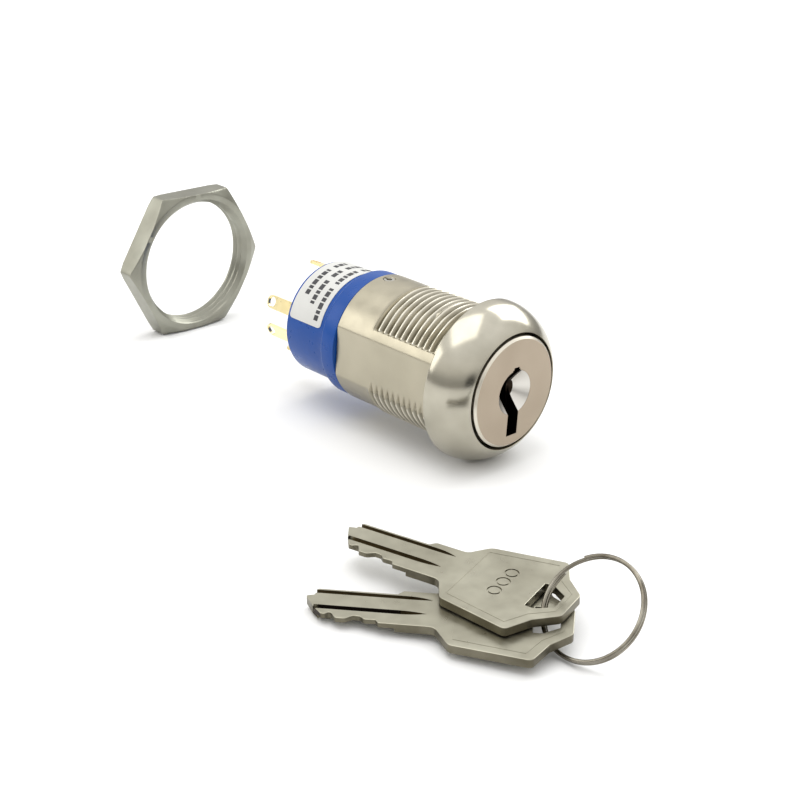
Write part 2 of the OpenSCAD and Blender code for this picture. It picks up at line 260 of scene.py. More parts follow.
def threadMetal(name, root, crest, rough):
    # painted shade darkens the grooves of the thread, and a painted highlight brightens its crests
    t = threadShade
    finish = Finish(name, Metallic=1.0)
    radius = finish.coordinates()[3]
    share = t["middleShare"]
    middle = tuple(r * (1 - share) + c * share for r, c in zip(root, crest))
    finish.colours(finish.between(radius, 0.0, 1.0, t["root"] * mm, t["crest"] * mm),
                   [(0.0, root), (t["middleAt"], middle), (t["crestAt"], crest)])
    finish.roughness(finish.noise(1.5), *rough)
    finish.bumps((finish.noise(0.5), 0.0010))
    return finish.material


# where the plug changes its finish and where its painted shade lies: places along the lock axis, half
# widths and radii
plugShade = dict(behindFace=-6.08, slotHalf=1.07, coneEnd=-4.43, holeRadius=3.4, rimRadius=7.5)


def plugMetal(name, light, dark, silver, rim, insideShade, rough):
    # satin face, silver countersink and rim, and painted shade on the keyway behind the face
    p = plugShade
    finish = Finish(name, Metallic=1.0)
    finish.colours(finish.noise(6.0), [(0.3, dark), (0.7, light)])
    x, y, _, radius = finish.coordinates()
    deep = finish.calc("GREATER_THAN", y, p["behindFace"] * mm)
    nearSlot = finish.calc("LESS_THAN", finish.calc("ABSOLUTE", x), p["slotHalf"] * mm)
    pastCone = finish.calc("GREATER_THAN", y, p["coneEnd"] * mm)
    nearSlot = finish.calc("MAXIMUM", nearSlot, pastCone)
    nearHole = finish.calc("LESS_THAN", radius, p["holeRadius"] * mm)
    finish.overlay(finish.calc("MULTIPLY", deep, nearHole), silver)
    # painted shade: the keyway walls behind the face are coloured nearly black
    finish.overlay(finish.calc("MULTIPLY", deep, nearSlot), insideShade)
    finish.overlay(finish.calc("GREATER_THAN", radius, p["rimRadius"] * mm), rim)
    finish.roughness(finish.noise(1.5), *rough)
    finish.bumps((finish.noise(0.5), 0.0010))
    return finish.material


polishedNickel = metal("polished_nickel", (0.47, 0.445, 0.37), (0.38, 0.36, 0.295),
                       (0.15, 0.24), 3.0, 0.0010, cloud=5.0)
satinNickel = metal("satin_nickel", (0.44, 0.405, 0.315), (0.37, 0.34, 0.26),
                    (0.28, 0.38), 0.5, 0.0012)
# the dark root colour is painted shade and the light crest colour is painted highlight
threadNickelPaintedLight = threadMetal("thread_nickel_painted_light", (0.18, 0.165, 0.12), (0.74, 0.70, 0.60),
                           (0.26, 0.36))
# the nearly black colour given for the inside of the keyway is painted shade
faceNickel = plugMetal("face_nickel", (0.395, 0.33, 0.255), (0.35, 0.29, 0.22),
                       (0.66, 0.64, 0.60), (0.66, 0.62, 0.53), (0.020, 0.014, 0.010), (0.30, 0.38))
keyNickel = metal("key_nickel", (0.40, 0.385, 0.31), (0.29, 0.275, 0.215),
                  (0.27, 0.38), 0.5, 0.0014)
# painted shade for the key's side walls
keyWallShade = metal("key_wall_painted_shade", (0.19, 0.175, 0.13), (0.11, 0.10, 0.07),
                (0.30, 0.42), 0.5, 0.0014, cloud=3.0)
# painted shade in the key's grooves
keyGrooveShade = metal("key_groove_painted_shade", (0.20, 0.165, 0.10), (0.13, 0.105, 0.06),
                  (0.35, 0.45), 0.5, 0.0010)
# near black painted shadow in the deepest groove
keyGrooveShadow = metal("key_groove_painted_shadow", (0.040, 0.030, 0.024), (0.025, 0.018, 0.014),
                (0.45, 0.55), 0.5, 0.0010)
ringSteel = metal("ring_steel", (0.32, 0.30, 0.25), (0.12, 0.105, 0.08),
                  (0.18, 0.28), 0.6, 0.0010, cloud=3.0)
nutSteel = metal("nut_steel", (0.33, 0.33, 0.28), (0.24, 0.235, 0.195),
                 (0.28, 0.40), 0.6, 0.0016)
pinSteel = metal("pin_steel", (0.50, 0.49, 0.45), (0.40, 0.39, 0.36),
                 (0.22, 0.34), 0.5, 0.0008)
springWire = metal("spring_wire", (0.52, 0.52, 0.52), (0.38, 0.38, 0.39),
                   (0.25, 0.40), 0.3, 0.0006)
goldPlate = metal("gold_plate", (1.0, 0.88, 0.52), (0.96, 0.80, 0.42),
                  (0.24, 0.34), 0.5, 0.0008)
waferBrass = metal("wafer_brass", (0.80, 0.63, 0.31), (0.68, 0.50, 0.21),
                   (0.24, 0.36), 0.4, 0.0008, stretch=(1, 1, 4))
contactSilver = metal("contact_silver", (0.82, 0.81, 0.79), (0.72, 0.71, 0.68),
                      (0.16, 0.28), 0.4, 0.0006)
labelFoil = plastic("label_foil", (0.56, 0.56, 0.54), (0.51, 0.51, 0.49), (0.45, 0.55), 0.0005)
bluePlastic = plastic("blue_plastic", (0.004, 0.060, 0.285), (0.003, 0.050, 0.245),
                      (0.26, 0.36), 0.0008, shine=0.3)
basePlastic = plastic("base_plastic", (0.010, 0.045, 0.20), (0.008, 0.036, 0.16),
                      (0.40, 0.55), 0.0015)
rotorPlastic = plastic("rotor_plastic", (0.80, 0.76, 0.66), (0.72, 0.68, 0.57),
                       (0.38, 0.50), 0.0012)
labelInk = plastic("label_ink", (0.035, 0.035, 0.04), (0.02, 0.02, 0.022), (0.45, 0.6), 0.0003)
print("materials made")


# barrel: bezel dome, helical thread, flats and plain end

thread = dict(crest=9.525, pitch=25.4 / 24, depth=0.56, start=0.35, end=13.1, runOut=0.5,
              crestFlat=0.12, flank=0.68, crestAt=12.05, crestAngle=142)
barrel = dict(bezelRadius=11.35, domeArc=7.0, rim=5.77, faceBore=8.22, shoulder=-1.0,
              bore=6.25, chamber=7.6, chamberAt=13.0, plain=9.325, threadFrom=0.02,
              threadEnd=13.2, endSlope=0.35, length=19.63, edge=0.16,
              flat=8.61, flatRound=0.07, sideFrom=7.5, landRadius=9.325, landTop=5.0,
              landFade=(0.1, 0.2), plainRows=(13.6, 15, 16.5), lastRow=19.2,
              columns=400, threadRows=150)
pinHole = dict(angle=92, along=18.05, radius=0.8, deep=0.5, edge=0.1, rowStep=0.06, rowsAside=17,
               cutAt=7.7, cutLength=3.2)
channel = dict(half=2.45, reach=7.15, start=0.4)
scuff = dict(angles=(79, 121), fadeAngles=(8, 14), along=(4.6, 5.6), fadeAlong=0.2, fill=0.75)
bezel = dict(lip=0.10, steps=40, backRound=0.03)
threadFaces = dict(along=(0.3, 12.8), across=8.52, above=5.0, below=-3.95, radius=8.8)


def helixGroove(degrees, along, pitch, crestAt, crestAngle):
    # 0 on a crest and 1 at a root, with narrow flats on both
    turns = (along - crestAt) / pitch + (degrees - crestAngle) / 360
    fromCrest = abs(turns - round(turns)) * 2
    return min(1.0, max(0.0, (fromCrest - thread["crestFlat"]) / thread["flank"]))


def inScuff(degrees, along):
    # 1 inside the worn patch of the thread, fading to 0 round it
    low, high = scuff["angles"]
    share = smoothStep(low, low + scuff["fadeAngles"][0], degrees)
    share *= 1 - smoothStep(high - scuff["fadeAngles"][1], high, degrees)
    start, end = scuff["along"]
    share *= smoothStep(start, start + scuff["fadeAlong"], along)
    return share * (1 - smoothStep(end - scuff["fadeAlong"], end, along))


def barrelSkin(degrees, along):
    t, b = thread, barrel
    z = t["crest"] * math.sin(math.radians(degrees))
    x = abs(math.cos(math.radians(degrees)))
    groove = helixGroove(degrees, along, t["pitch"], t["crestAt"], t["crestAngle"])
    groove *= smoothStep(t["start"], t["start"] + t["runOut"], along)
    groove *= 1 - smoothStep(t["end"] - t["runOut"], t["end"], along)
    onSide = x * t["crest"] > b["sideFrom"]
    if onSide and z > 0:  # smooth land above each flat
        groove *= smoothStep(b["landTop"] - b["landFade"][0], b["landTop"] + b["landFade"][1], z)
    worn = 1 - scuff["fill"] * inScuff(degrees, along)
    radius = t["crest"] - t["depth"] * groove * worn
    if onSide and 0 < z < b["landTop"]:
        radius = min(radius, b["landRadius"])
    slope = smoothStep(b["threadEnd"] - b["endSlope"], b["threadEnd"], along)
    radius = radius + (b["plain"] - radius) * slope
    fromEnd = b["length"] - along
    if fromEnd < b["edge"]:
        radius -= b["edge"] - fromEnd
    aside = math.radians(degrees - pinHole["angle"]) * b["plain"]
    fromPin = math.hypot(aside, along - pinHole["along"])
    rim = pinHole["radius"]
    radius -= pinHole["deep"] * (1 - smoothStep(rim, rim + pinHole["edge"], fromPin))
    if x > 0.5:
        flat = b["flat"] - max(0, b["edge"] - fromEnd)
        radius = softMin(radius, flat / x, b["flatRound"])
    return radius


def channelledBore(degrees, along):
    c = abs(math.cos(math.radians(degrees)))
    s = abs(math.sin(math.radians(degrees)))
    upright = min(channel["reach"] / max(s, 1e-6), channel["half"] / max(c, 1e-6))
    level = min(channel["reach"] / max(c, 1e-6), channel["half"] / max(s, 1e-6))
    return (max(barrel["bore"], upright, level), along)


def barrelRows():
    b = barrel
    centre = b["bezelRadius"] - b["domeArc"]
    rimTop = centre + math.sqrt(b["domeArc"] ** 2 - b["rim"] ** 2)
    lip = bezel["lip"]
    rows = [(b["faceBore"], -b["rim"] + lip * 1.5)]
    rows += [(b["faceBore"] + lip * 0.3, -b["rim"] + lip * 0.4), (rimTop - lip * 0.2, -b["rim"])]
    low = math.asin(b["rim"] / b["domeArc"])
    for i in range(1, bezel["steps"] + 1):
        a = low * (1 - i / bezel["steps"])
        rows.append((centre + b["domeArc"] * math.cos(a), -b["domeArc"] * math.sin(a)))
    rows[-1] = (b["bezelRadius"], -lip)
    small = bezel["backRound"]
    rows += [(b["bezelRadius"] - small, -small), (b["bezelRadius"] - lip, 0.0)]
    bezelCount = len(rows)
    first = b["threadFrom"]
    rows.append((thread["crest"] + first, 0.0))
    alongs = [first + (b["threadEnd"] - first) * i / b["threadRows"]
              for i in range(b["threadRows"] + 1)]
    alongs += b["plainRows"]
    alongs += [pinHole["along"] + pinHole["rowStep"] * i
               for i in range(-pinHole["rowsAside"], pinHole["rowsAside"] + 1)]
    alongs += [b["lastRow"]]
    alongs += [b["length"] - b["edge"] * s for s in (1.2, 1, 0.5, 0)]
    for along in alongs:
        rows.append(lambda d, y=along: (barrelSkin(d, y), y))
    rows += [(b["chamber"] + 0.1, b["length"]), (b["chamber"], b["length"] - 0.1)]
    rows += [(b["chamber"], b["chamberAt"])]
    for along in (b["chamberAt"], channel["start"]):
        rows.append(lambda d, y=along: channelledBore(d, y))
    rows += [(b["bore"], channel["start"]), (b["bore"], b["shoulder"]),
             (b["faceBore"], b["shoulder"])]
    return rows, bezelCount


barrelParts, bezelCount = barrelRows()
barrelPiece = turnedPiece("barrel_shell", barrelParts, barrel["columns"])
polishedRows = bezelCount * barrel["columns"]
for face in barrelPiece.data.polygons:
    x, y, z = face.center / mm
    onThread = threadFaces["along"][0] < y < threadFaces["along"][1]
    onThread = onThread and abs(x) < threadFaces["across"]
    onThread = onThread and (z > threadFaces["above"] or z < threadFaces["below"])
    onThread = onThread and math.hypot(x, z) > threadFaces["radius"]
    onBezel = face.index < polishedRows - barrel["columns"]
    face.material_index = 0 if onBezel else 2 if onThread else 1
fitPiece(barrelPiece, "housing", "shell_nickel", [polishedNickel, satinNickel, threadNickelPaintedLight],
         "barrel")
print("barrel made,", len(barrelPiece.data.polygons), "faces")


# blue housing

housing = dict(spigot=7.55, spigotAt=15.8, collar=9.25, collarAt=(19.64, 22.26), body=8.38,
               end=30.47, hole=3.1, front=5.6, frontAt=17.0, cavity=7.05, cavityAt=21.0,
               seat=7.575, seatAt=27.6, round=0.35, smallRound=0.12, chamfer=0.2,
               fillet=0.25, filletMiddle=(0.08, 0.06), mouth=0.08, columns=192)


def arcRows(radius, along, reach, start, end, steps=6):
    # quarter of a round edge; the centre is at (radius, along)
    return [(radius + reach * math.cos(math.radians(start + (end - start) * i / steps)),
             along + reach * math.sin(math.radians(start + (end - start) * i / steps)))
            for i in range(steps + 1)]


def housingRows():
    h = housing
    r = h["round"]
    small = h["smallRound"]
    rows = [(h["hole"], h["spigotAt"]), (h["spigot"] - h["chamfer"], h["spigotAt"]),
            (h["spigot"], h["spigotAt"] + h["chamfer"]), (h["spigot"], h["collarAt"][0])]
    rows += arcRows(h["collar"] - small, h["collarAt"][0] + small, small, -90, 0, 4)
    rows += arcRows(h["collar"] - r, h["collarAt"][1] - r, r, 0, 90)
    out, on = h["filletMiddle"]
    rows += [(h["body"] + h["fillet"], h["collarAt"][1]),
             (h["body"] + out, h["collarAt"][1] + on),
             (h["body"], h["collarAt"][1] + h["fillet"])]
    rows += [(h["body"], 24), (h["body"], 27)]
    rows += arcRows(h["body"] - r, h["end"] - r, r, 0, 90)
    rows += [(h["seat"] + h["mouth"], h["end"]), (h["seat"], h["end"] - h["mouth"]),
             (h["seat"], h["seatAt"]), (h["cavity"], h["seatAt"]), (h["cavity"], h["cavityAt"]),
             (h["front"], h["cavityAt"]), (h["front"], h["frontAt"]), (h["hole"], h["frontAt"])]
    return rows


# pockets that the detent ball drops into, and the hole of the retaining pin
pockets = dict(circle=6.55, radius=0.9, along=23.0, angles=(-90, -180))


def roundCutter(place, radius, length=0):
    # a ball, or with a length a rod that points away from the lock axis
    bm = bmesh.new()
    if length:
        away = Vector((place[0], 0, place[2])).to_track_quat("Z", "Y").to_matrix().to_4x4()
        bmesh.ops.create_cone(bm, cap_ends=True, segments=32, radius1=radius * mm,
                              radius2=radius * mm, depth=length * mm, matrix=away)
    else:
        bmesh.ops.create_uvsphere(bm, u_segments=32, v_segments=16, radius=radius * mm)
    bmesh.ops.translate(bm, verts=bm.verts, vec=Vector(place) * mm)
    mesh = bpy.data.meshes.new("cutter")
    bm.to_mesh(mesh)
    bm.free()
    obj = bpy.data.objects.new("cutter", mesh)
    bpy.context.scene.collection.objects.link(obj)
    return obj


housingPiece = turnedPiece("switch_housing_shell", housingRows(), housing["columns"], 40)
holes = [roundCutter(aroundLock(pockets["circle"], a, pockets["along"]), pockets["radius"])
         for a in pockets["angles"]]
holes.append(roundCutter(aroundLock(pinHole["cutAt"], pinHole["angle"], pinHole["along"]),
                         pinHole["radius"], pinHole["cutLength"]))
cutAway(housingPiece, holes)
shadeSmooth(housingPiece, 40)
fitPiece(housingPiece, "housing", "blue_plastic", [bluePlastic], "switch_housing")

print("housing made")


# label round the housing

label = dict(angles=(13, 167), along=(23.5, 29.9), inner=8.385, outer=8.46, corner=0.55)


def curvedPatch(points, faces, angles, along, inner, outer, inset=None, step=2.0):
    # plate that follows the housing; inset gives how far a column is pulled in at both ends
    first = len(points)
    count = max(2, int((angles[1] - angles[0]) / step) + 1)
    for i in range(count + 1):
        degrees = angles[0] + (angles[1] - angles[0]) * i / count
        pull = inset(degrees) if inset else 0
        for radius in (inner, outer):
            for y in (along[0] + pull, along[1] - pull):
                points.append(aroundLock(radius, degrees, y))
    for i in range(count):
        a, b = first + i * 4, first + (i + 1) * 4
        for p, q in ((0, 1), (1, 3), (3, 2), (2, 0)):
            faces.append((a + p, a + q, b + q, b + p))
    end = first + count * 4
    faces.append((first, first + 1, first + 3, first + 2))
    faces.append((end, end + 1, end + 3, end + 2))


def labelInset(degrees):
    reach = math.radians(min(degrees - label["angles"][0], label["angles"][1] - degrees))
    reach *= label["outer"]
    r = label["corner"]
    return r - math.sqrt(r * r - (r - reach) ** 2) if reach < r else 0


labelPoints, labelFaces = [], []
curvedPatch(labelPoints, labelFaces, label["angles"], label["along"], label["inner"],
            label["outer"], labelInset, 0.5)
labelPiece = meshObject("rating_label_foil", labelPoints, labelFaces)
fitPiece(labelPiece, "housing", "label_foil", [labelFoil], "rating_label")

# plain dark blocks in place of print: (place along the housing, where it ends, blocks in each word)
printing = dict(rows=[(24.75, 161, (6, 5, 3)), (26.55, 147, (5, 2, 4)), (28.30, 140, (6, 3))],
                height=0.8, blocks=(5.2, 3.4, 6.6, 4.2, 5.8, 2.8), space=1.5, wordSpace=5.0)


def printMarks():
    points, faces = [], []
    inner, outer = label["outer"] - 0.01, label["outer"] + 0.012
    high = printing["height"] / 2
    for along, at, words in printing["rows"]:
        for count in words:
            for i in range(count):
                wide = printing["blocks"][(i + count) % len(printing["blocks"])]
                curvedPatch(points, faces, (at - wide, at), (along - high, along + high),
                            inner, outer)
                at -= wide + printing["space"]
            at -= printing["wordSpace"]
    return points, faces


printPiece = meshObject("rating_label_marks", *printMarks())
fitPiece(printPiece, "housing", "label_foil", [labelInk])
print("label made")


# mounting nut

nut = dict(front=61.0, height=3.5, acrossFlats=22.2, chamfers=(0.8, 0.3), backReach=0.8,
           bore=9.585, root=0.42, entry=10.2, entryDepth=0.6, columns=360, threadRows=64,
           cornerRound=0.12, coneRound=0.12, edge=0.07)


def nutRows():
    n = nut
    flatReach = n["acrossFlats"] / 2
    corner = flatReach / math.cos(math.radians(30))

    def hexSkin(degrees, depth):
        side = flatReach / math.cos(math.radians(degrees % 60 - 30))
        cone = flatReach + (corner - flatReach) * depth / n["chamfers"][0]
        back = corner - n["backReach"] * (1 - (n["height"] - depth) / n["chamfers"][1])
        hexagon = softMin(side, corner - 0.02, n["cornerRound"])
        radius = softMin(hexagon, min(cone, back), n["coneRound"])
        return radius - max(0, n["edge"] - min(depth, n["height"] - depth))

    def screw(degrees, depth):
        groove = 1 - helixGroove(degrees, depth, thread["pitch"], 0, 0)
        entry = min(depth, n["height"] - depth) / n["entryDepth"]
        cone = n["entry"] + (n["bore"] - n["entry"]) * min(1, entry)
        return max(n["bore"] + n["root"] * groove, cone)

    depths = [0, 0.035, 0.07] + [n["chamfers"][0] * i / 10 for i in range(1, 13)]
    depths += [n["height"] - n["chamfers"][1] * k for k in (1.4, 1, 0.75, 0.5, 0.24, 0.12, 0)]
    rows = [lambda d, t=t: (hexSkin(d, t), n["front"] + t) for t in depths]
    inner = [n["height"] * (1 - i / n["threadRows"]) for i in range(n["threadRows"] + 1)]
    rows += [lambda d, t=t: (screw(d, t), n["front"] + t) for t in inner]
    return rows


nutPiece = turnedPiece("mounting_nut_body", nutRows(), nut["columns"], 28)
fitPiece(nutPiece, "mounting_nut", "nut_steel", [nutSteel], "mounting_nut")
print("nut made")


# split ring

splitRing = dict(centre=(-28.03, -42.67, -6.18), radius=6.1, wire=0.255, lift=0.235, lean=49.7,
                 heading=177.3, step=4, splitAt=250, gap=24, changeAt=(318, 378))


def ringPath():
    s = splitRing
    place = Matrix.Rotation(math.radians(s["heading"]), 4, "Z")
    place = place @ Matrix.Rotation(math.radians(s["lean"]), 4, "Y")
    path = []
    for turn in range(0, 720 - s["gap"], s["step"]):
        # the wire changes from one layer to the other over a short stretch
        layer = s["lift"] * (2 * smoothStep(*s["changeAt"], turn) - 1)
        a = math.radians(turn + s["splitAt"])
        p = Vector((s["radius"] * math.cos(a), s["radius"] * math.sin(a), layer))
        path.append(Vector(s["centre"]) + place @ p)
    return path


ringPiece = tubeAlong("split_ring", ringPath(), splitRing["wire"], 16)
fitPiece(ringPiece, "key_ring", "ring_steel", [ringSteel], "key_ring")
print("ring made")


# keys

keyShape = dict(thick=1.1, length=30.4, bow=15.8, blade=6.0, neckAt=10.7, neckTop=3.75,
                shoulder=15.1, bowAt=17.0, hole=(25.9, 27.05, 28.9), holeHalf=(2.6, 1.3),
                edge=0.07, border=0.85, borderWide=0.12, borderDeep=0.03, tab=2.5, lean=4.6,
                thinEdge=-1.3, thinDeep=0.5)
# lower edge of the blade: (from the tip, below the middle)
bitting = [(2.25, 1.95), (2.6, 2.0), (3.2, 1.62), (4.15, 2.62), (4.9, 2.62), (6.1, 1.93),
           (6.6, 1.98), (7.4, 2.5), (8.45, 2.45), (8.95, 3.0)]
grooves = [dict(across=2.38, half=0.36, start=0.5, end=11.6, runOut=2.8, deep=0.42, skew=0.2),
           dict(across=-0.65, half=0.42, start=1.2, end=10.8, runOut=3.2, deep=0.45, skew=-0.05)]
# how a groove's cutter lifts out: steps along it, the least share, and how fast it narrows
grooveTaper = dict(steps=26, least=0.02, narrowing=0.8, above=0.2, floor=(-0.55, 0.85))
# which faces take the painted shade of the walls and grooves
keyShade = dict(wall=0.6, borderFrom=0.06, beside=0.06, before=0.3, after=0.2, lowest=0.5,
                highest=0.03)
stamps = dict(at=21.6, across=(-1.7, 0.4, 2.5), radius=0.78, stroke=0.2, deep=0.12)
# dark marks the key whose second groove takes the near black painted shadow
keyPlaces = [dict(name="key_1", pivot=(-29.07, -36.86, -7.70), heading=-76.7,
                  hang=(27.34, -0.34), dark=False),
             dict(name="key_2", pivot=(-30.26, -37.78, -9.07), heading=-52.8,
                  hang=(26.95, 0.66), dark=True)]


def roundedOutline(corners, steps=5):
    # corners are (x, y, radius of rounding)
    outline = []
    for i, (x, y, radius) in enumerate(corners):
        here = Vector((x, y))
        back = (Vector(corners[i - 1][:2]) - here)
        ahead = (Vector(corners[(i + 1) % len(corners)][:2]) - here)
        if radius <= 0:
            outline.append(here)
            continue
        half = back.angle(ahead) / 2
        reach = min(radius / math.tan(half), back.length * 0.48, ahead.length * 0.48)
        start, end = here + back.normalized() * reach, here + ahead.normalized() * reach
        for k in range(steps + 1):
            t = k / steps
            outline.append(start * (1 - t) ** 2 + here * 2 * t * (1 - t) + end * t * t)
    return outline


def bittingEdge():
    points = []
    for (x0, y0), (x1, y1) in zip(bitting, bitting[1:]):
        for k in range(6):
            t = k / 6
            points.append((x0 + (x1 - x0) * t, -(y0 + (y1 - y0) * smoothStep(0, 1, t)), 0))
    points.append((bitting[-1][0], -bitting[-1][1], 0))
    return points


def keyCorners():
    k = keyShape
    half, wide, tab = k["blade"] / 2, k["bow"] / 2, k["length"] - k["tab"]
    lower = [(1.1, -0.5, 0.6)] + bittingEdge()
    lower += [(k["shoulder"], -half, 1.2), (k["bowAt"], -wide * 0.78, 1.1),
              (tab - 1.7, -wide, 0.8), (tab, -wide * 0.6, 0.7), (k["length"], -wide * 0.3, 0.9)]
    upper = [(k["length"], wide * 0.3, 0.9), (tab, wide * 0.6, 0.7), (tab - 1.7, wide, 0.8),
             (k["bowAt"], wide * 0.78, 1.6), (k["shoulder"], k["neckTop"], 1.2),
             (k["neckAt"] + 0.2, k["neckTop"], 0.5), (k["neckAt"] - 0.4, half, 0.4),
             (1.05, half, 0.35), (0.95, half * 0.58, 0.2), (0, half * 0.48, 0.2)]
    return lower, upper


def prism(name, loops, low, high, bevel=0.0):
    # solid between two heights over an outline with holes
    bm = bmesh.new()
    for loop in loops:
        verts = [bm.verts.new((x * mm, y * mm, low * mm)) for x, y in loop]
        for a, b in zip(verts, verts[1:] + verts[:1]):
            bm.edges.new((a, b))
    bmesh.ops.triangle_fill(bm, use_beauty=True, edges=bm.edges)
    base = list(bm.faces)
    made = bmesh.ops.extrude_face_region(bm, geom=base)["geom"]
    top = [g for g in made if isinstance(g, bmesh.types.BMVert)]
    bmesh.ops.translate(bm, verts=top, vec=(0, 0, (high - low) * mm))
    bmesh.ops.recalc_face_normals(bm, faces=bm.faces)
    if bevel:
        rims = [e for e in bm.edges if len(e.link_faces) == 2
                and abs(e.verts[0].co.z - e.verts[1].co.z) < 1e-7
                and e.calc_face_angle() > 1.2]
        bmesh.ops.bevel(bm, geom=rims, offset=bevel * mm, segments=2, profile=0.5,
                        affect="EDGES", clamp_overlap=False)
    mesh = bpy.data.meshes.new(name)
    bm.to_mesh(mesh)
    bm.free()
    obj = bpy.data.objects.new(name, mesh)
    bpy.context.scene.collection.objects.link(obj)
    return obj


def circleLoop(x, y, radius, steps=28):
    return [(x + radius * math.cos(math.tau * k / steps), y + radius * math.sin(math.tau * k / steps))
            for k in range(steps)]


def grooveCutter(shape, top):
    # milled groove whose cutter lifts out in a long taper
    points, faces = [], []
    t = grooveTaper
    steps = t["steps"]
    for i in range(steps + 1):
        x = shape["start"] + (shape["end"] + shape["runOut"] - shape["start"]) * i / steps
        out = max(0.0, (x - shape["end"]) / shape["runOut"])
        share = max(t["least"], 1 - out * out)
        deep, half = shape["deep"] * share, shape["half"] * share ** t["narrowing"]
        y = shape["across"] - shape["skew"] * (1 - share)
        for across, height in ((half, t["above"]), (-half, t["above"]),
                               (half * t["floor"][0], -deep), (half * t["floor"][1], -deep)):
            points.append((x, y + across, top + height))
    for i in range(steps):
        for k in range(4):
            m = (k + 1) % 4
            faces.append((i * 4 + k, i * 4 + m, i * 4 + 4 + m, i * 4 + 4 + k))
    faces.append((0, 1, 2, 3))
    faces.append(tuple(steps * 4 + k for k in (3, 2, 1, 0)))
    return meshObject("groove", points, faces)


def insetLoop(corners, reach):
    # the same outline pulled in, for the coined border of the bow
    loop = []
    for i, (x, y) in enumerate(corners):
        here = Vector((x, y))
        back = (here - Vector(corners[i - 1])).normalized()
        ahead = (Vector(corners[(i + 1) % len(corners)]) - here).normalized()
        inward = Vector((-back.y - ahead.y, back.x + ahead.x))
        inward.normalize()
        loop.append(here + inward * reach / max(0.4, inward.dot(Vector((-ahead.y, ahead.x)))))
    return loop


def colourKey(key, dark):
    # painted shade: side walls and grooves are coloured darker than the faces, and with dark set the
    # second groove takes a near black painted shadow
    s, top = keyShade, keyShape["thick"]
    for face in key.data.polygons:
        x, y, z = face.center / mm
        wall = abs(face.normal.z) < s["wall"]
        onBorder = top - s["borderFrom"] < z and wall
        face.material_index = 1 if wall and not onBorder else 0
        for i, groove in enumerate(grooves):
            start = groove["start"] + s["before"]
            end = groove["end"] + groove["runOut"] + s["after"]
            insideShade = abs(y - groove["across"]) < groove["half"] + s["beside"]
            if insideShade and start < x < end and s["lowest"] < z < top - s["highest"]:
                # grooves take painted shade, and the second groove of the dark key a near black
                # painted shadow
                face.material_index = 3 if dark and i == 1 and x < groove["end"] else 2


def makeKey(place):
    k = keyShape
    lower, upper = keyCorners()
    outline = roundedOutline(lower + upper)
    x0, x1, x2 = k["hole"]
    h0, h1 = k["holeHalf"]
    hole = roundedOutline([(x0, h0, 0.2), (x1, h0, 0.2), (x2, h1, 0.25),
                           (x2, -h1, 0.25), (x1, -h0, 0.2), (x0, -h0, 0.2)])
    key = prism(place["name"] + "_body", [outline, hole], 0, k["thick"], k["edge"])
    top = k["thick"]
    above = top + 0.2  # the cutters start clear of the face
    cutters = [grooveCutter(shape, top) for shape in grooves]
    for across in stamps["across"]:
        ring = [circleLoop(stamps["at"], across, stamps["radius"] + stamps["stroke"] / 2),
                circleLoop(stamps["at"], across, stamps["radius"] - stamps["stroke"] / 2)]
        cutters.append(prism("stamp", ring, top - stamps["deep"], above))
    wide, tab = k["bow"] / 2, k["length"] - k["tab"]
    bow = [(k["bowAt"] - 0.6, -wide * 0.74), (tab - 1.9, -wide * 0.98), (tab - 0.1, -wide * 0.58),
           (k["length"], -wide * 0.3), (k["length"], wide * 0.3), (tab - 0.1, wide * 0.58),
           (tab - 1.9, wide * 0.98), (k["bowAt"] - 0.6, wide * 0.74)]
    border = [insetLoop(bow, k["border"]), insetLoop(bow, k["border"] + k["borderWide"])]
    cutters.append(prism("border", border, top - k["borderDeep"], above))
    under = [(-1, -4), (k["neckAt"], -4), (k["neckAt"], k["thinEdge"]), (-1, k["thinEdge"])]
    cutters.append(prism("under", [under], -1, k["thinDeep"]))
    cutAway(key, cutters)
    colourKey(key, place["dark"])
    turn = Matrix.Rotation(math.radians(-k["lean"]), 4, "Y")
    turn = turn @ Matrix.Rotation(math.radians(place["heading"]), 4, "Z")
    shift = Vector((-place["hang"][0], -place["hang"][1], -k["thick"] / 2)) * mm
    key.data.transform(Matrix.Translation(Vector(place["pivot"]) * mm) @ turn
                       @ Matrix.Translation(shift))
    shadeSmooth(key, 20)
    fitPiece(key, place["name"], "key_nickel", [keyNickel, keyWallShade, keyGrooveShade, keyGrooveShadow],
             place["name"])


for place in keyPlaces:
    makeKey(place)
print("keys made")


# springs, as turns of wire

springWinding = dict(stepsPerTurn=16, closedEnds=0.035)


def springPath(start, direction, side, radius, length, turns):
    other = direction.cross(side)
    path = []
    steps = int(turns * springWinding["stepsPerTurn"])
    for i in range(steps + 1):
        a = math.tau * turns * i / steps
        # the end turns lie closer together, as ground ends do
        t = i / steps
        t -= springWinding["closedEnds"] * math.sin(math.tau * t)
        path.append(start + direction * (length * t)
                    + (side * math.cos(a) + other * math.sin(a)) * radius)
    return path


def joinPieces(name, pieces):
    points, faces = [], []
    for piece in pieces:
        first = len(points)
        points += [v.co / mm for v in piece.data.vertices]
        faces += [tuple(first + i for i in f.vertices) for f in piece.data.polygons]
        bpy.data.objects.remove(piece)
    return meshObject(name, points, faces, 50)


def springGroup(name, node, places, direction, side, spring, length):
    pieces = []
    for place in places:
        path = springPath(Vector(place), direction, side, spring["radius"] - spring["wire"] / 2,
                          length, spring["turns"])
        pieces.append(tubeAlong("turns", path, spring["wire"] / 2, 8))
    piece = joinPieces(name, pieces)
    fitPiece(piece, "lock_plug", "spring_steel", [springWire], node)


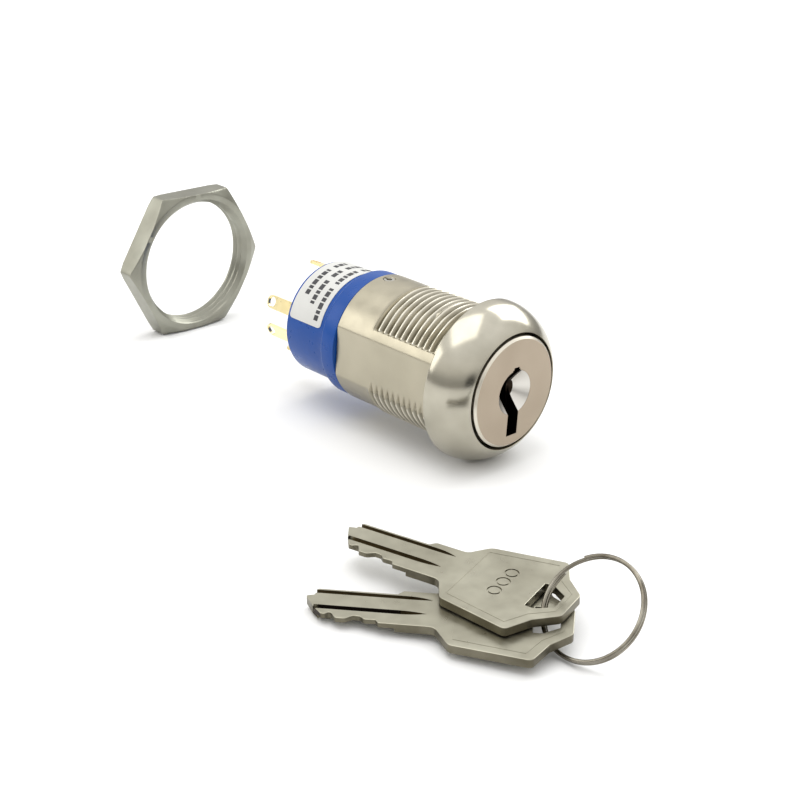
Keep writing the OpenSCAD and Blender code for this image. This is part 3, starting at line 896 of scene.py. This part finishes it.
across, along, upward = Vector((1, 0, 0)), Vector((0, 1, 0)), Vector((0, 0, 1))
waferSprings = dict(first=1.45, pitch=1.9, across=3.05, bottom=0.61, top=3.09,
                    radius=0.42, wire=0.16, turns=6)
springGroup("wafer_spring_turns", "wafer_springs",
            [(waferSprings["across"], waferSprings["first"] + i * waferSprings["pitch"],
              waferSprings["bottom"]) for i in range(6)],
            upward, across, waferSprings, waferSprings["top"] - waferSprings["bottom"])
contactSprings = dict(circle=4.4, angles=(162, -18), start=23.15, end=25.88,
                      radius=0.75, wire=0.22, turns=6)
springGroup("contact_spring_turns", "contact_springs",
            [aroundLock(contactSprings["circle"], a, contactSprings["start"])
             for a in contactSprings["angles"]],
            along, across, contactSprings, contactSprings["end"] - contactSprings["start"])
detentSpring = dict(start=3.53, end=5.29, along=23.0, radius=0.7, wire=0.2, turns=4)
springGroup("detent_spring_turns", "detent_spring",
            [(0, detentSpring["along"], -detentSpring["start"])],
            -upward, across, detentSpring, detentSpring["end"] - detentSpring["start"])
print("springs made")


# finishes of the parts that keep their own shape

keptParts = {
    "plug": faceNickel, "retaining_pin": pinSteel, "stop_pin": pinSteel,
    "terminal_base": basePlastic, "fixed_contacts": contactSilver, "retaining_clip": springWire,
    "drive_tail": pinSteel, "rotor": rotorPlastic, "moving_contact_1": waferBrass,
    "moving_contact_2": waferBrass, "detent_ball": polishedNickel,
}
for i in range(1, 7):
    keptParts[f"terminal_{i}"] = goldPlate
    keptParts[f"wafer_{i}"] = waferBrass
for name, material in keptParts.items():
    nodes[name].data.materials.clear()
    nodes[name].data.materials.append(material)
print("kept parts finished")


# floor, light and camera

studio = dict(floorAt=-11.35, floorSize=3000, floorTones=(0.79, 0.81), worldStrength=1.3,
              patchTowards=(-0.47, -0.88, 0.05), patchFade=(0.968, 0.992), patchStrength=0.05)

floorMesh = bpy.data.meshes.new("floor")
half, low = studio["floorSize"] / 2 * mm, studio["floorAt"] * mm
floorMesh.from_pydata([(-half, -half, low), (half, -half, low), (half, half, low),
                       (-half, half, low)], [], [(0, 1, 2, 3)])
floor = bpy.data.objects.new("floor", floorMesh)
bpy.context.scene.collection.objects.link(floor)
floorFinish = Finish("floor_paper", Roughness=0.9)
floorFinish.colours(floorFinish.noise(40),
                    [(at, (tone,) * 3) for at, tone in zip((0.3, 0.7), studio["floorTones"])])
floorMesh.materials.append(floorFinish.material)


def areaLight(name, place, target, size, power, colour=(1, 1, 1)):
    data = bpy.data.lights.new(name, "AREA")
    data.shape = "RECTANGLE"
    data.size, data.size_y = [s * mm for s in size]
    data.energy = power
    data.color = colour
    light = bpy.data.objects.new(name, data)
    light.location = Vector(place) * mm
    aim = Vector(target) - Vector(place)
    light.rotation_mode = "QUATERNION"
    light.rotation_quaternion = aim.to_track_quat("-Z", "Y")
    bpy.context.scene.collection.objects.link(light)


areaLight("top_softbox", (-60, 60, 330), (-10, 10, 0), (300, 260), 0.42, (1.0, 0.99, 0.97))
areaLight("right_softbox", (300, 30, 235), (-10, 0, 0), (220, 260), 0.62, (0.97, 0.99, 1.0))
areaLight("back_softbox", (-270, 260, 170), (-10, 10, 0), (240, 200), 0.26, (1.0, 0.99, 0.96))

world = bpy.data.worlds.new("studio")
bpy.context.scene.world = world
world.use_nodes = True
tree = world.node_tree
coordinates = tree.nodes.new("ShaderNodeTexCoord")
split = tree.nodes.new("ShaderNodeSeparateXYZ")
ramp = tree.nodes.new("ShaderNodeValToRGB")
tree.links.new(coordinates.outputs["Generated"], split.inputs["Vector"])
tree.links.new(split.outputs["Z"], ramp.inputs["Fac"])
ramp.color_ramp.elements[0].position = 0.0
ramp.color_ramp.elements[0].color = (0.30, 0.29, 0.27, 1)
ramp.color_ramp.elements[1].position = 0.8
ramp.color_ramp.elements[1].color = (1, 1, 1, 1)
for at, tone in ((0.14, 0.42), (0.36, 0.80)):
    ramp.color_ramp.elements.new(at).color = (tone, tone * 0.985, tone * 0.95, 1)
tree.links.new(ramp.outputs["Color"], tree.nodes["Background"].inputs["Color"])

# a dark patch low at the front, which the polished bezel mirrors
patch = Vector(studio["patchTowards"]).normalized()
towards = tree.nodes.new("ShaderNodeVectorMath")
towards.operation = "DOT_PRODUCT"
towards.inputs[1].default_value = patch
dim = tree.nodes.new("ShaderNodeMapRange")
for socket, number in (("From Min", studio["patchFade"][0]), ("From Max", studio["patchFade"][1]),
                       ("To Min", studio["worldStrength"]), ("To Max", studio["patchStrength"])):
    dim.inputs[socket].default_value = number
tree.links.new(coordinates.outputs["Generated"], towards.inputs[0])
tree.links.new(towards.outputs["Value"], dim.inputs["Value"])
tree.links.new(dim.outputs["Result"], tree.nodes["Background"].inputs["Strength"])

view = dict(azimuth=-46.537, elevation=23.0, roll=3.475, place=(-157.70, -134.58, 84.00),
            lens=74.007, sensor=36.0)
azimuth, elevation, roll = [math.radians(view[k]) for k in ("azimuth", "elevation", "roll")]
back = Vector((math.sin(azimuth) * math.cos(elevation), -math.cos(azimuth) * math.cos(elevation),
               math.sin(elevation)))
right = Vector((math.cos(azimuth), math.sin(azimuth), 0))
above = back.cross(right)
cameraX = right * math.cos(roll) + above * math.sin(roll)
cameraY = above * math.cos(roll) - right * math.sin(roll)
cameraData = bpy.data.cameras.new("camera")
cameraData.lens, cameraData.sensor_width = view["lens"], view["sensor"]
cameraData.clip_start, cameraData.clip_end = 0.005, 20
camera = bpy.data.objects.new("camera", cameraData)
facing = Matrix((cameraX, cameraY, back)).transposed().to_4x4()
camera.matrix_world = Matrix.Translation(Vector(view["place"]) * mm) @ facing
bpy.context.scene.collection.objects.link(camera)
bpy.context.scene.camera = camera
bpy.context.scene.view_settings.view_transform = "Standard"
print("floor, light and camera set")
